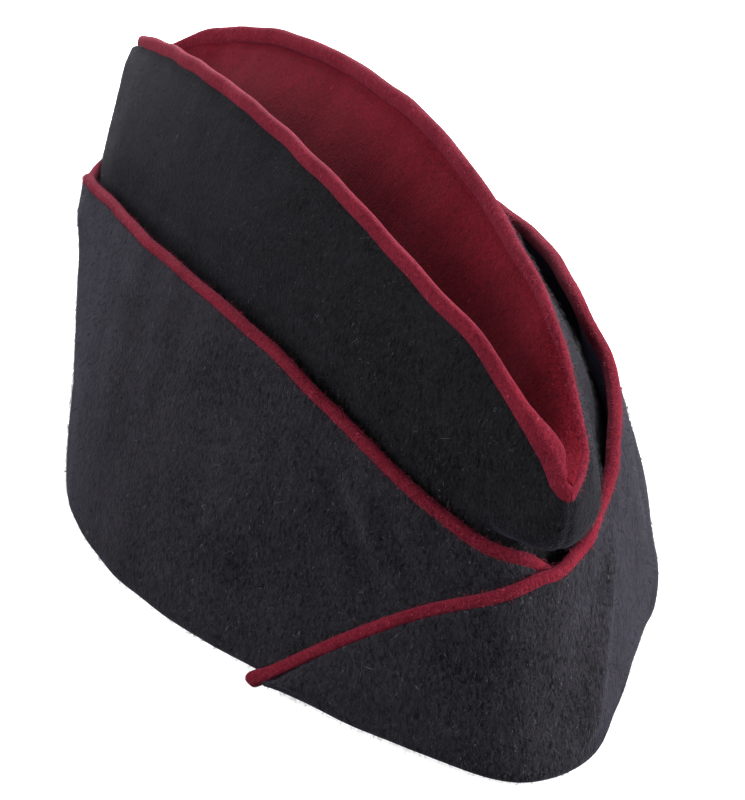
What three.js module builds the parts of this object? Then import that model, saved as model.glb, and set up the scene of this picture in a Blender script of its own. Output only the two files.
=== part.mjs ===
// Garrison cap: a soft, boat-shaped felt cap, opened as it is when it has just been taken off.
// Two side walls meet in seams at the front and the rear. A gusset joins them along the top and folds
// down between them. A turned-up band runs round the outside, and its left half wraps over the right
// one at the front. Felt piping edges the crown and the band.
//
// Millimetres. +X is the front of the cap, +Y the wearer's left and +Z up. The rim stands on Z = 0, and
// the origin is under the middle of the cap's box.

import * as THREE from 'three';

// Thicknesses
const WALL_FELT = 2.0;
const BAND_FELT = 2.4;
const GUSSET_FELT = 3.0; // measured straight down through the slanting felt, which is about 2 mm thick
const PIPING_RADIUS = 2.1;
const GAP = 0.45; // clearance between neighbouring pieces
const BAND_ROOM = 1.2; // between the band and the wall behind it
const PIPING_DROP = PIPING_RADIUS + 1.6; // from the middle of a piping down to the edges of the felt it trims

// Each edge, seen from above, is an oval along the centre line: where its ends are, its greatest half
// width, and the powers that round it off at the front and at the rear. Blunt takes off the front tip, by
// a share of the length.
const EDGES = {
  rim: {
    right: { front: 1.5, rear: -224, halfWidth: 71, frontPower: 0.82, rearPower: 0.62, blunt: 0.03 },
    left: { front: 1.5, rear: -224, halfWidth: 77, frontPower: 0.79, rearPower: 0.62, blunt: 0.03 },
  },
  bandTop: {
    right: { front: -12, rear: -260, halfWidth: 46, frontPower: 0.57, rearPower: 0.43, blunt: 0 },
    left: { front: -12, rear: -260, halfWidth: 49, frontPower: 0.52, rearPower: 0.5, blunt: 0 },
  },
  crown: {
    right: { front: -1.5, rear: -288, halfWidth: 19.7, frontPower: 0.69, rearPower: 0.52, blunt: 0 },
    left: { front: -1.5, rear: -288, halfWidth: 19.7, frontPower: 0.69, rearPower: 0.52, blunt: 0 },
  },
};

// Height of each edge, by the share of its length behind its front end
const HEIGHTS = [
  { along: 0.0, bandTop: 50, crown: 73 },
  { along: 0.08, bandTop: 59, crown: 89.5 },
  { along: 0.25, bandTop: 74, crown: 104.3 },
  { along: 0.5, bandTop: 75.5, crown: 109.4 },
  { along: 0.75, bandTop: 68, crown: 101 },
  { along: 1.0, bandTop: 54, crown: 77 },
];

// The rim arches off the table along the sides and lies flat round the rear.
const RIM_ARCH = { height: 7.6, length: 0.8, power: 1.2 };

// How far each side stands out: the band's belly at half its height, and the room between the band's top
// edge and the wall inside it at mid length. The share of that room left at the ends is below.
const SIDES = {
  right: { sign: -1, bandBelly: 2.8, standOff: 1.0 },
  left: { sign: 1, bandBelly: 5.5, standOff: 5.5 },
};
const END_ROOM = 0.7;
const WALL_RISE = 1.5; // the walls end this far above the band's fold
const WALL_LEAVES_BAND = 1.05; // share of the band's height up to which a wall lies along it
// How the crown puffs out at the front: forward and sideways, where between band and seam, how far back,
// and how soon behind the tip the sideways puff sets in
const NOSE = { reach: 8, width: 6, share: 0.55, length: 0.22, onset: 0.03 };

// The left half of the band wraps round the front to here on the right, where its slanted edge meets the
// rim. The edge's power bends it, and its top share is where it crosses the centre line.
const WRAP = { end: 0.246, top: 0.955, power: 1.17, fade: 0.12 };
const SLANT = {
  feltEnd: 0.9, // the felt stops at this share of the slanted edge's length, and its piping a little further
  pipingEnd: 0.985,
  drop: 1.6, // the piping lies aslant there, so the felt ends this much further below it
  leastShare: 0.02, // the felt never gets narrower than this share of the band's height
};
const HIDDEN_PIPING_START = 0.03; // where the right half's piping ends, under the slanted edge

// The gusset's valley, and the shares of the crown's length between which the gusset runs
const FOLD = { depth: 24, roundness: 0.16, power: 0.55, front: 0.02, rear: 0.94 };

// How finely each surface is cut
const CUTS = {
  along: 30,
  roundTheFront: 42,
  wallRows: 7,
  bandRows: 5,
  gussetRows: 12,
  pipingSteps: 52,
  pipingSides: 8,
};
const HALFWAY = 0.5;
const FIRST_STATION = 0.0001; // just behind the front tip, so that its sign still tells the side
const SEARCH_STEP = 0.0005;

const COLOURS = { charcoal: 0x1d1f25, burgundy: 0x6a1a2c };

// ---- Edges ---------------------------------------------------------------------------------------

// A smooth height between the rows of the table: cubic pieces that meet with the same slope
function heightAt(column, along) {
  const rows = HEIGHTS;
  const slopes = rows.slice(1).map((row, i) => (row[column] - rows[i][column]) / (row.along - rows[i].along));
  const tangents = rows.map((row, i) => {
    if (i === 0 || i === rows.length - 1) return null;
    const before = row.along - rows[i - 1].along;
    const after = rows[i + 1].along - row.along;
    return (slopes[i - 1] * after + slopes[i] * before) / (before + after);
  });
  tangents[0] = 2 * slopes[0] - tangents[1];
  tangents[rows.length - 1] = 2 * slopes.at(-1) - tangents[rows.length - 2];
  const i = Math.max(0, rows.findLastIndex((row, k) => row.along <= along && k < rows.length - 1));
  const span = rows[i + 1].along - rows[i].along;
  const s = (along - rows[i].along) / span;
  return (
    (1 + 2 * s) * (1 - s) ** 2 * rows[i][column] +
    s * (1 - s) ** 2 * span * tangents[i] +
    s * s * (3 - 2 * s) * rows[i + 1][column] -
    s * s * (1 - s) * span * tangents[i + 1]
  );
}

function rimHeight(along) {
  const s = Math.min(along / RIM_ARCH.length, 1);
  return RIM_ARCH.height * (4 * s * (1 - s)) ** RIM_ARCH.power;
}

// Half width of an oval as a share of its greatest
function ovalWidth(oval, along) {
  const { frontPower: p, rearPower: q } = oval;
  const peak = (p / (p + q)) ** p * (q / (p + q)) ** q;
  return (Math.max(along, 0) ** p * Math.max(1 - along, 0) ** q) / peak;
}

// A place along the cap is a station from -1 to 1: its size is the share of the length behind the front,
// and its sign is the side. Stations below 0 are on the right.
function sideOf(station) {
  return station < 0 ? 'right' : 'left';
}

function edgePoint(edge, station, inset) {
  const side = sideOf(station);
  const along = Math.abs(station);
  const oval = EDGES[edge][side];
  const front = oval.front - inset;
  const rear = oval.rear + inset;
  const height = edge === 'rim' ? rimHeight(along) : heightAt(edge, along);
  const width = (oval.halfWidth - inset) * ovalWidth(oval, along);
  const x = front + (rear - front) * Math.hypot(along, oval.blunt);
  return new THREE.Vector3(x, SIDES[side].sign * width, height);
}

function smoothStep(value) {
  return THREE.MathUtils.smoothstep(value, 0, 1);
}

// ---- Surfaces ------------------------------------------------------------------------------------

// The band between the rim (share 0) and its top edge (share 1)
function bandPoint(station, share, inset) {
  const point = edgePoint('rim', station, inset).lerp(edgePoint('bandTop', station, inset), share);
  const side = SIDES[sideOf(station)];
  const belly = side.bandBelly * 4 * share * (1 - share) * Math.sin(Math.PI * Math.abs(station));
  point.y += side.sign * belly;
  return point;
}

// The crown wall from inside the rim (share 0), up behind the band, to the crown seam (share 1)
function wallPoint(station, share, inset) {
  const along = Math.abs(station);
  const side = SIDES[sideOf(station)];
  const behindBand = BAND_FELT + BAND_ROOM + inset;
  const stand = side.standOff * (END_ROOM + (1 - END_ROOM) * Math.sin(Math.PI * along));
  const bottom = bandPoint(station, 0, behindBand);
  bottom.z += WALL_RISE;
  const belly = bandPoint(station, 0.5, behindBand + 0.5 * stand);
  const bandTop = bandPoint(station, WALL_LEAVES_BAND, behindBand + stand);
  const seam = edgePoint('crown', station, inset - WALL_FELT);
  seam.z -= PIPING_DROP;
  const nose = bandTop.clone().lerp(seam, NOSE.share);
  const puff = 1 - smoothStep(along / NOSE.length);
  nose.x += NOSE.reach * puff;
  nose.y += side.sign * NOSE.width * puff * smoothStep(along / NOSE.onset);
  const profile = new THREE.CatmullRomCurve3([bottom, belly, bandTop, nose, seam], false, 'centripetal');
  return profile.getPoint(share);
}

// The gusset from the right seam (across -1) over the valley (across 0) to the left seam (across 1)
function gussetPoint(along, across, drop) {
  const seam = edgePoint('crown', along, GAP);
  const { depth, roundness, power } = FOLD;
  const flat = Math.hypot(1, roundness) - roundness;
  const fold = 1 - (Math.hypot(across, roundness) - roundness) / flat;
  const valley = depth * Math.sin(Math.PI * along) ** power * fold;
  return new THREE.Vector3(seam.x, seam.y * across, seam.z - PIPING_DROP - valley - drop);
}

// The share of the band's height at which the left half ends: all of it on the left, and down the slanted
// edge on the right
function wrapShare(station) {
  if (station < 0) {
    return WRAP.top * Math.max(1 + station / WRAP.end, 0) ** WRAP.power;
  }
  return WRAP.top + (1 - WRAP.top) * smoothStep(station / WRAP.fade);
}

// How far outside the right half the left half lies where it wraps over it
function wrapOut(station) {
  return (BAND_FELT + 2 * GAP) * (1 - smoothStep(station / WRAP.fade));
}

// ---- Solids --------------------------------------------------------------------------------------

// A closed body from two facing grids of points: outer[i][j] and inner[i][j]
function sheetGeometry(outer, inner) {
  const columns = outer.length;
  const rows = outer[0].length;
  const points = [...outer.flat(), ...inner.flat()];
  const at = (layer, i, j) => layer * columns * rows + i * rows + j;
  const faces = [];
  const quad = (a, b, c, d) => faces.push([a, b, c], [a, c, d]);
  for (let i = 0; i + 1 < columns; i += 1) {
    for (let j = 0; j + 1 < rows; j += 1) {
      quad(at(0, i, j), at(0, i + 1, j), at(0, i + 1, j + 1), at(0, i, j + 1));
      quad(at(1, i, j), at(1, i, j + 1), at(1, i + 1, j + 1), at(1, i + 1, j));
    }
    quad(at(0, i, 0), at(1, i, 0), at(1, i + 1, 0), at(0, i + 1, 0));
    quad(at(0, i, rows - 1), at(0, i + 1, rows - 1), at(1, i + 1, rows - 1), at(1, i, rows - 1));
  }
  for (let j = 0; j + 1 < rows; j += 1) {
    quad(at(0, 0, j), at(0, 0, j + 1), at(1, 0, j + 1), at(1, 0, j));
    quad(at(0, columns - 1, j), at(1, columns - 1, j), at(1, columns - 1, j + 1), at(0, columns - 1, j + 1));
  }
  const facesOutward = signedVolume(points, faces) > 0;
  const geometry = new THREE.BufferGeometry();
  geometry.setFromPoints(points);
  geometry.setIndex(faces.flatMap(([a, b, c]) => (facesOutward ? [a, b, c] : [a, c, b])));
  geometry.computeVertexNormals();
  return geometry;
}

function signedVolume(points, faces) {
  const cross = new THREE.Vector3();
  return faces.reduce(
    (sum, [a, b, c]) => sum + cross.crossVectors(points[b], points[c]).dot(points[a]) / 6,
    0,
  );
}

// Keeps a point on its own side of the centre line, clear of the half that meets it in the seam
function besideSeam(point, sign) {
  point.y = sign * Math.max(sign * point.y, GAP / 2);
  return point;
}

// Stations from one to another, closer together towards the two ends of the cap, where edges turn sharply
function stationsBetween(from, to, count) {
  const angle = (station) => Math.sign(station) * Math.acos(1 - 2 * Math.abs(station));
  const station = (a) => Math.sign(a) * (1 - Math.cos(a)) / 2;
  const [low, high] = [angle(from), angle(to)];
  return Array.from({ length: count + 1 }, (_, i) => station(low + ((high - low) * i) / count));
}

function shares(count, low = 0, high = 1) {
  return Array.from({ length: count + 1 }, (_, j) => low + ((high - low) * j) / count);
}

// One crown wall, from the front seam to the rear seam
function wallGeometry(side) {
  const { sign } = SIDES[side];
  const stations = stationsBetween(FIRST_STATION, 1, CUTS.along).map((along) => sign * along);
  const layer = (inset) =>
    stations.map((station) =>
      shares(CUTS.wallRows).map((share) => besideSeam(wallPoint(station, share, inset), sign)),
    );
  return sheetGeometry(layer(0), layer(WALL_FELT));
}

// The drop from the middle of a piping to the felt under it, as a share of the band's height there
function pipingShare(station) {
  const height = edgePoint('rim', station, 0).distanceTo(edgePoint('bandTop', station, 0));
  return PIPING_DROP / height;
}

// The right half of the band, which lies under the left one at the front
function rightBandGeometry() {
  const stations = stationsBetween(FIRST_STATION, 1, CUTS.along).map((along) => -along);
  const layer = (inset) =>
    stations.map((station) =>
      shares(CUTS.bandRows, 0, 1 - pipingShare(station)).map((share) =>
        besideSeam(bandPoint(station, share, inset), -1),
      ),
    );
  return sheetGeometry(layer(0), layer(BAND_FELT));
}

// The left half of the band, from the rear seam round the front to its slanted edge on the right
function leftBandGeometry() {
  const lastStation = -WRAP.end * SLANT.feltEnd;
  const stations = stationsBetween(1, lastStation, CUTS.roundTheFront);
  const layer = (inset) =>
    stations.map((station) => {
      const drop = pipingShare(station) * (station < 0 ? SLANT.drop : 1);
      const top = Math.max(wrapShare(station) - drop, SLANT.leastShare);
      return shares(CUTS.bandRows, 0, top).map((share) => {
        const point = bandPoint(station, share, inset - wrapOut(station));
        return station > HALFWAY ? besideSeam(point, 1) : point;
      });
    });
  return sheetGeometry(layer(0), layer(BAND_FELT));
}

function gussetGeometry() {
  const stations = stationsBetween(FOLD.front, FOLD.rear, CUTS.along);
  const layer = (drop) =>
    stations.map((along) => shares(CUTS.gussetRows, -1, 1).map((across) => gussetPoint(along, across, drop)));
  return sheetGeometry(layer(0), layer(GUSSET_FELT));
}

// A piping is a round strip of felt along a seam
function pipingGeometry(points) {
  const section = new THREE.Shape();
  for (let i = 0; i < CUTS.pipingSides; i += 1) {
    const angle = (2 * Math.PI * i) / CUTS.pipingSides;
    const corner = [PIPING_RADIUS * Math.cos(angle), PIPING_RADIUS * Math.sin(angle)];
    if (i === 0) section.moveTo(...corner);
    else section.lineTo(...corner);
  }
  const path = new THREE.CatmullRomCurve3(points, false, 'centripetal');
  return new THREE.ExtrudeGeometry(section, {
    steps: CUTS.pipingSteps,
    curveSegments: 1,
    bevelEnabled: false,
    extrudePath: path,
  });
}

// The first station, counted from an end of an edge, where the edge is this far from the centre line
function stationWhere(edge, side, halfWidth, fromRear) {
  const { sign } = SIDES[side];
  let along = SEARCH_STEP;
  const widthAt = (a) => Math.abs(edgePoint(edge, sign * (fromRear ? 1 - a : a), 0).y);
  while (widthAt(along) < halfWidth) along += SEARCH_STEP;
  return fromRear ? 1 - along : along;
}

function crownPipingGeometry(side) {
  const { sign } = SIDES[side];
  const clear = PIPING_RADIUS + GAP;
  const from = stationWhere('crown', side, clear, false);
  const to = stationWhere('crown', side, clear, true);
  return pipingGeometry(stationsBetween(from, to, CUTS.along).map((s) => edgePoint('crown', sign * s, 0)));
}

function rightBandPipingGeometry() {
  const to = stationWhere('bandTop', 'right', 2 * PIPING_RADIUS, true);
  const middle = BAND_FELT - PIPING_RADIUS;
  const stations = stationsBetween(HIDDEN_PIPING_START, to, CUTS.along);
  return pipingGeometry(stations.map((s) => bandPoint(-s, 1, middle)));
}

function leftBandPipingGeometry() {
  const from = stationWhere('bandTop', 'left', 2 * PIPING_RADIUS, true);
  const to = -WRAP.end * SLANT.pipingEnd;
  const middle = BAND_FELT - PIPING_RADIUS;
  const stations = stationsBetween(from, to, CUTS.roundTheFront);
  return pipingGeometry(stations.map((s) => bandPoint(s, wrapShare(s), middle - wrapOut(s))));
}

// ---- The cap -------------------------------------------------------------------------------------

const charcoalFelt = new THREE.MeshStandardMaterial({
  name: 'charcoal_felt',
  color: COLOURS.charcoal,
  roughness: 0.95,
  metalness: 0,
});
const burgundyFelt = new THREE.MeshStandardMaterial({
  name: 'burgundy_felt',
  color: COLOURS.burgundy,
  roughness: 0.9,
  metalness: 0,
});

const PIECES = [
  { name: 'crown_side_right', geometry: wallGeometry('right'), material: charcoalFelt },
  { name: 'crown_side_left', geometry: wallGeometry('left'), material: charcoalFelt },
  { name: 'top_gusset', geometry: gussetGeometry(), material: burgundyFelt },
  { name: 'crown_piping_right', geometry: crownPipingGeometry('right'), material: burgundyFelt },
  { name: 'crown_piping_left', geometry: crownPipingGeometry('left'), material: burgundyFelt },
  { name: 'curtain_right', geometry: rightBandGeometry(), material: charcoalFelt },
  { name: 'curtain_left', geometry: leftBandGeometry(), material: charcoalFelt },
  { name: 'curtain_piping_right', geometry: rightBandPipingGeometry(), material: burgundyFelt },
  { name: 'curtain_piping_left', geometry: leftBandPipingGeometry(), material: burgundyFelt },
];

const group = new THREE.Group();
for (const { name, geometry, material } of PIECES) {
  const mesh = new THREE.Mesh(geometry, material);
  mesh.name = name;
  group.add(mesh);
}

// The origin goes under the middle of the box.
const box = new THREE.Box3().setFromObject(group);
group.position.set(-(box.min.x + box.max.x) / 2, -(box.min.y + box.max.y) / 2, -box.min.z);

export default group;
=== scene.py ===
import math

import bpy
import numpy as np
from mathutils import Matrix, Vector


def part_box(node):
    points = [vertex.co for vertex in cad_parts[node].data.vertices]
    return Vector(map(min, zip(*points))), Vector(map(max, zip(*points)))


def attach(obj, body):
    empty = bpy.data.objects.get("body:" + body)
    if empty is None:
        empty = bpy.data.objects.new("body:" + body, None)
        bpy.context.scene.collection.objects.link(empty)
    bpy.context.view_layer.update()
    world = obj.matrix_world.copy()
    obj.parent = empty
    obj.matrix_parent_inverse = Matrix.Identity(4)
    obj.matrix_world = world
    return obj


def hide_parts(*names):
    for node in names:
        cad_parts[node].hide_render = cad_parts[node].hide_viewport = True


# Garrison cap of charcoal and burgundy felt. Shapes are worked out in millimetres in the cap's own
# coordinates: X = 0 at the front, Y = 0 on the centre line, Z = 0 on the table. +Y is the wearer's left.
# They become metres in the frame when a mesh is made.

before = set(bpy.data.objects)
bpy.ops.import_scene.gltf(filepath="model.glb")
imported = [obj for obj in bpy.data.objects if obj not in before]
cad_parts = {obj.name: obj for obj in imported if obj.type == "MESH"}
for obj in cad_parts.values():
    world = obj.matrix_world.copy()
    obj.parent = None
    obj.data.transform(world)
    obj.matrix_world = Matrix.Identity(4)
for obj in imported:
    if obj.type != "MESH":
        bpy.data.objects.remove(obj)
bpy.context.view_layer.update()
MM = 0.001

# ---- Driving dimensions ----

WALL_FELT = 2.0
BAND_FELT = 2.4
GUSSET_FELT = 2.0
BAND_ROOM = 1.2  # between the band and the wall behind it, low down

# The plan of each edge: half an oval for each side, from the front to the rear.
EDGES = {
    "rim": {
        "right": dict(front=1.5, rear=-224, half_width=71, front_power=0.82, rear_power=0.62, blunt=0.03),
        "left": dict(front=1.5, rear=-224, half_width=77, front_power=0.79, rear_power=0.62, blunt=0.03),
    },
    "band_top": {
        "right": dict(front=-12, rear=-260, half_width=46, front_power=0.57, rear_power=0.43, blunt=0),
        "left": dict(front=-12, rear=-260, half_width=49, front_power=0.52, rear_power=0.5, blunt=0),
    },
    "crown": {
        side: dict(front=-1.5, rear=-288, half_width=19.7, front_power=0.69, rear_power=0.52, blunt=0)
        for side in ("right", "left")
    },
}
# The heights of the two upper edges, at shares of the way along.
HEIGHTS = {
    "along": [0.0, 0.08, 0.25, 0.5, 0.75, 1.0],
    "band_top": [50, 59, 74, 75.5, 68, 54],
    "crown": [73, 89.5, 104.3, 109.4, 101, 77],
}
RIM_ARCH = dict(height=7.6, length=0.8, power=1.2)  # the rim arches off the table along the sides
# How far each side stands out: the band's belly, the wall beyond its band, and the crown's puffed-out front.
SIDES = {
    "right": dict(sign=-1, band_belly=2.8, stand_off=5.2, nose_width=0.5, nose_length=0.04, stand_power=2.2),
    "left": dict(sign=1, band_belly=5.5, stand_off=5.5, nose_width=3.4, nose_length=0.11, stand_power=1.0),
}
END_ROOM = 0.1  # the share of a wall's stand-off from its band that is left at the two ends
WALL_BELLY = 1.8  # how far the walls bulge out again just above the bands
REAR_ROOM = dict(room=1.6, reach=0.3)
FRONT_HUG = 0.25  # how far along the wall gets back its room behind the band
STAND_END = 0.05  # within this of an end, both walls stand off by the same
WALL_LEAVES_BAND = 1.05  # the share of the band's height up to which a wall lies along it
# How far the crown's front puffs out beyond its seam, and at what share of the way up from the band.
NOSE = dict(reach=8.8, share=0.21, onset=0.02)
# The left band half, over the right one: where it ends, its height at the front, and how it slants down.
WRAP = dict(end=0.246, top=0.935, power=1.17, fade=0.12, lift=0.9)
FOLD = dict(depth=24, roundness=0.16, power=0.55)  # the gusset, down between the walls

# ---- Finer dimensions ----

EDGE_SOFTNESS = {"rim": 3.0, "band_top": 3.0, "crown": 1.2}  # how widely an edge is smoothed
# The felt's own slow swells: hills and hollows of random size, longer up the felt than along it, and none
# close to the front and rear seams.
SEEDS = {"walls": 3, "band_right": 11, "band_left": 12, "gusset": 21}
SWELL = dict(hills=46, height=0.75, along=15.0, up=30.0, sizes=(0.7, 1.5), front_and_rear=0.06)
WALL_START = 6.4  # how far up inside the band the crown's felt starts
CHIN = dict(plain=0.6, round=4.2, share=0.68, reach=0.34)  # how round the crown's two ends are, at a share up
SEAM_GROOVE = dict(depth=0.35, reach=0.7)  # along the front and rear seams
# The small waves of a hand-sewn edge: how many run right round it, how high they are, and their seed.
WAVES = dict(counts=(8, 13, 21, 29), out=0.2, up=0.16, seed=5)
# The right wall's rear top corner sticks out beside its piping.
HEEL = dict(station=-0.87, aside=2.2, reach=0.075)
# Beside the crown seams, the gusset sinks, and deeper away from the front tip.
GUSSET_GROOVE = dict(depth=0.9, reach=1.6, fade=0.12)
GUSSET_HELD = dict(power=0.7, ends=0.08)  # how soon the gusset is free to swell, away from its edges
WALL_SHOWS = 0.3  # the share of the wall's height that stays behind the band
WALL_TUCK = dict(depth=0.9, share=0.955)  # how far the walls' top edge turns in, above a share of the height
SEAM_DROP = {"crown": 1.6, "band_top": 1.5}  # from an edge down to where the felt meets its piping
# The band's fold round the rim, and how far it goes up inside. An open end doesn't go right round.
ROLL = dict(height=3.0, half_width=1.7, flange=3.4, open_part=0.3, open_flange=0.9, highest_start=0.9)
# The right half of the band where the left one covers it: its top edge dips, and its rim is raised.
UNDER_FLAP = dict(top_width=9.0, top_drop=3.0, top_power=2.5, steepness=0.7, overlap=0.01,
                  rim_rise=2.6, rim_start=0.003, rim_fade=0.02, rear_limit=-0.5)
# The slanted end of the left band half: where its felt and its piping end, and where its fold opens.
FLAP_EDGE = dict(start=0.915, piping_start=0.965, least_share=0.034, aslant=0.6, aslant_fade=0.02,
                 opens=0.01, opens_by=0.04)
# The left piping's end, curling under the rim.
HOOK = dict(turn=2.5, steps=25, squash=0.62, drift=2.2, wider=0.25, reach=0.02)
TIP_SLIMMING = dict(by=0.3, reach=7.0)  # the crown piping, towards the front tip
# And towards the rear, where its end turns down over the seam and is rounded off.
HEEL_SLIMMING = dict(by=0.2, reach=4.5, down=1.7, back=0.2)
HEEL_TUCK = dict(share=0.035, reach=0.02)  # how much lower the walls end there, under the two pipings
# Where the right crown piping is wider, as the gusset's edge rolls over beside it.
ROLLED_LEAF = dict(station=-0.032, reach=0.034, wider=1.4)
# The section of each piping, how far its top stands above its edge, and what the CAD calls it.
PIPING = {
    "crown": dict(half_height=2.8, half_width=1.5, top=2.1, cad_name="crown_piping"),
    "band": dict(half_height=2.0, half_width=1.6, top=2.1, cad_name="curtain_piping"),
}
PIPING_ROUNDNESS = 0.75  # below 1, the section is squarer than an oval
PULL_POWER = 0.8  # how much of its thinning a piping shows in its height
# How much thinner than that each stretch of piping has been pulled, and where the left one changes.
PULLED_THIN = {"crown": 0.87, "band_right": 0.82, "wrap": 0.64, "band_left": 1.0}
PULL_CHANGES = dict(station=-0.04, within=0.1)

# The crease of the gusset at the front tip: how far to the right side it lies, and where it opens.
TIP_CREASE = dict(across=-0.4, length=0.07, start=0.008, opens_by=0.08)
# How far the gusset's felt lies below the crown edge, along its seams, and how far it comes up again at the
# rear. It starts and ends a little short of the two ends, and a little inside the crown edge.
GUSSET_SEAM = dict(front=-1.2, rear=3.6, fade_start=0.05, fade=0.3, inset=0.9, starts=0.0015, ends=0.997,
                   heel_rise=2.3, heel_start=0.88, heel_fade=0.10)

# Where the felt has been pushed out of its regular shape: at a station along an edge, fading out within
# reach, by so much outwards, to the wearer's left and upwards.
PUSHES = {
    "rim": [
        dict(station=-0.01, reach=0.07, out=2.2),
        dict(station=-0.13, reach=0.10, out=-0.4),
        dict(station=-0.45, reach=0.30, out=0.9, up=-2.0),
        dict(station=-0.80, reach=0.20, out=-0.8),
        dict(station=0.12, reach=0.09, out=-0.7),
        dict(station=-0.71, reach=0.12, out=-0.8),
    ],
    "band_top": [
        dict(station=-0.86, reach=0.20, out=3.5),
        dict(station=-0.89, reach=0.09, up=-4.0),
        dict(station=0.03, reach=0.06, out=-3.0, up=1.0),
        dict(station=0.008, reach=0.02, out=-1.6),
        dict(station=0.16, reach=0.12, out=2.6),
        dict(station=0.42, reach=0.14, out=1.2),
    ],
    "crown": [
        dict(station=0.03, reach=0.05, out=0.6),
        dict(station=0.0, reach=0.03, left=-2.4, up=2.0),
        dict(station=-0.024, reach=0.03, out=-0.4),
        dict(station=0.62, reach=0.25, up=-0.8),
        dict(station=-0.1, reach=0.09, out=-1.2, up=0.6),
        dict(station=-0.45, reach=0.4, up=0.8),
        dict(station=-0.91, reach=0.08, out=-2.0),
        dict(station=-0.91, reach=0.06, up=-2.0),
        dict(station=1.0, reach=0.10, out=-2.5, left=4.0, up=-2.5),
        dict(station=-1.0, reach=0.10, out=-2.5, left=4.0, up=-2.5),
    ],
}

# Folds and hollows of the band halves, each along a line between two places (station, share of the height):
# how far out the felt stands there, and how wide the fold is.
FOLDS = {
    "right": [
        dict(start=(-0.175, 0.80), end=(-0.122, 0.54), out=-1.5, width=3.0),
        dict(start=(-0.150, 0.84), end=(-0.100, 0.62), out=0.9, width=2.8),
        dict(start=(-0.118, 0.84), end=(-0.085, 0.66), out=-1.3, width=2.6),
        dict(start=(-0.205, 0.72), end=(-0.150, 0.46), out=0.8, width=3.2),
        dict(start=(-0.250, 0.30), end=(-0.200, 0.45), out=-1.5, width=9.0),
        dict(start=(-0.560, 0.80), end=(-0.500, 0.35), out=0.5, width=8.0),
        dict(start=(-0.880, 0.88), end=(-0.800, 0.86), out=1.3, width=5.5),
    ],
    "left": [
        dict(start=(0.055, 0.74), end=(0.019, 0.18), out=1.7, width=3.2),
        dict(start=(0.030, 0.70), end=(0.004, 0.30), out=-0.9, width=4.5),
        dict(start=(0.300, 0.70), end=(0.220, 0.50), out=-3.2, width=13.0),
        dict(start=(0.215, 0.50), end=(0.190, 0.34), out=1.0, width=3.0),
        dict(start=(0.250, 0.07), end=(0.190, 0.07), out=1.6, width=5.0),
    ],
}

# How finely each piece is divided: along the cap, and across the felt or round the piping.
COLUMNS = dict(walls=160, gusset=162, band_right=180, band_left=215,
               crown_edge=300, band_edge_right=300, band_edge_left=360)
ROWS = dict(walls=52, gusset=62, band=34, rolled=13, flange=4, edges=6, piping=18)

# ---- Edges ----


def height_at(column, along):
    """Cubic pieces between the rows of the table, meeting with the same slope."""
    x, y = np.array(HEIGHTS["along"], float), np.array(HEIGHTS[column], float)
    span = np.diff(x)
    slope = np.diff(y) / span
    tangent = np.empty_like(y)
    tangent[1:-1] = (slope[:-1] * span[1:] + slope[1:] * span[:-1]) / (span[1:] + span[:-1])
    tangent[0] = 2 * slope[0] - tangent[1]
    tangent[-1] = 2 * slope[-1] - tangent[-2]
    i = np.clip(np.searchsorted(x, along, side="right") - 1, 0, len(span) - 1)
    s = (along - x[i]) / span[i]
    return (
        (1 + 2 * s) * (1 - s) ** 2 * y[i]
        + s * (1 - s) ** 2 * span[i] * tangent[i]
        + s * s * (3 - 2 * s) * y[i + 1]
        - s * s * (1 - s) * span[i] * tangent[i + 1]
    )


def rim_height(along):
    s = np.minimum(along / RIM_ARCH["length"], 1)
    return RIM_ARCH["height"] * (4 * s * (1 - s)) ** RIM_ARCH["power"]


def smooth_step(value):
    s = np.clip(value, 0, 1)
    return s * s * (3 - 2 * s)


def bump(value):
    """A soft hill, 1 at 0 and 0 beyond 1 either way."""
    return smooth_step(1 - np.abs(value))


def oval_points(edge, side, along):
    oval = EDGES[edge][side]
    p, q = oval["front_power"], oval["rear_power"]
    peak = (p / (p + q)) ** p * (q / (p + q)) ** q
    width = oval["half_width"] * along**p * (1 - along) ** q / peak
    x = oval["front"] + (oval["rear"] - oval["front"]) * np.hypot(along, oval["blunt"])
    z = rim_height(along) if edge == "rim" else height_at(edge, along)
    return np.stack([x, SIDES[side]["sign"] * width, z], axis=1)


def unit(v):
    return v / np.maximum(np.linalg.norm(v, axis=-1, keepdims=True), 1e-12)


SOFTENED_STEPS = 4000


def soften(points, width):
    """A closed loop of points, its first also its last, each moved to the average of those near it."""
    closed = points[:-1]
    step = np.linalg.norm(np.roll(closed, -1, axis=0) - closed, axis=1)
    at = np.concatenate([[0], np.cumsum(step)])
    even = np.linspace(0, at[-1], SOFTENED_STEPS + 1)[:-1]
    wrapped = np.concatenate([closed, closed[:1]])
    line = np.stack([np.interp(even, at, wrapped[:, k]) for k in range(3)], axis=1)
    spacing = even[1]
    reach = int(4 * width / spacing)
    kernel = np.exp(-0.5 * (np.arange(-reach, reach + 1) * spacing / width) ** 2)
    kernel /= kernel.sum()
    padded = np.concatenate([line[-reach:], line, line[:reach]])
    soft = np.stack([np.convolve(padded[:, k], kernel, "valid") for k in range(3)], axis=1)
    soft = np.concatenate([soft, soft[:1]])
    even = np.append(even, at[-1])
    return np.stack([np.interp(at, even, soft[:, k]) for k in range(3)], axis=1)


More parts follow.
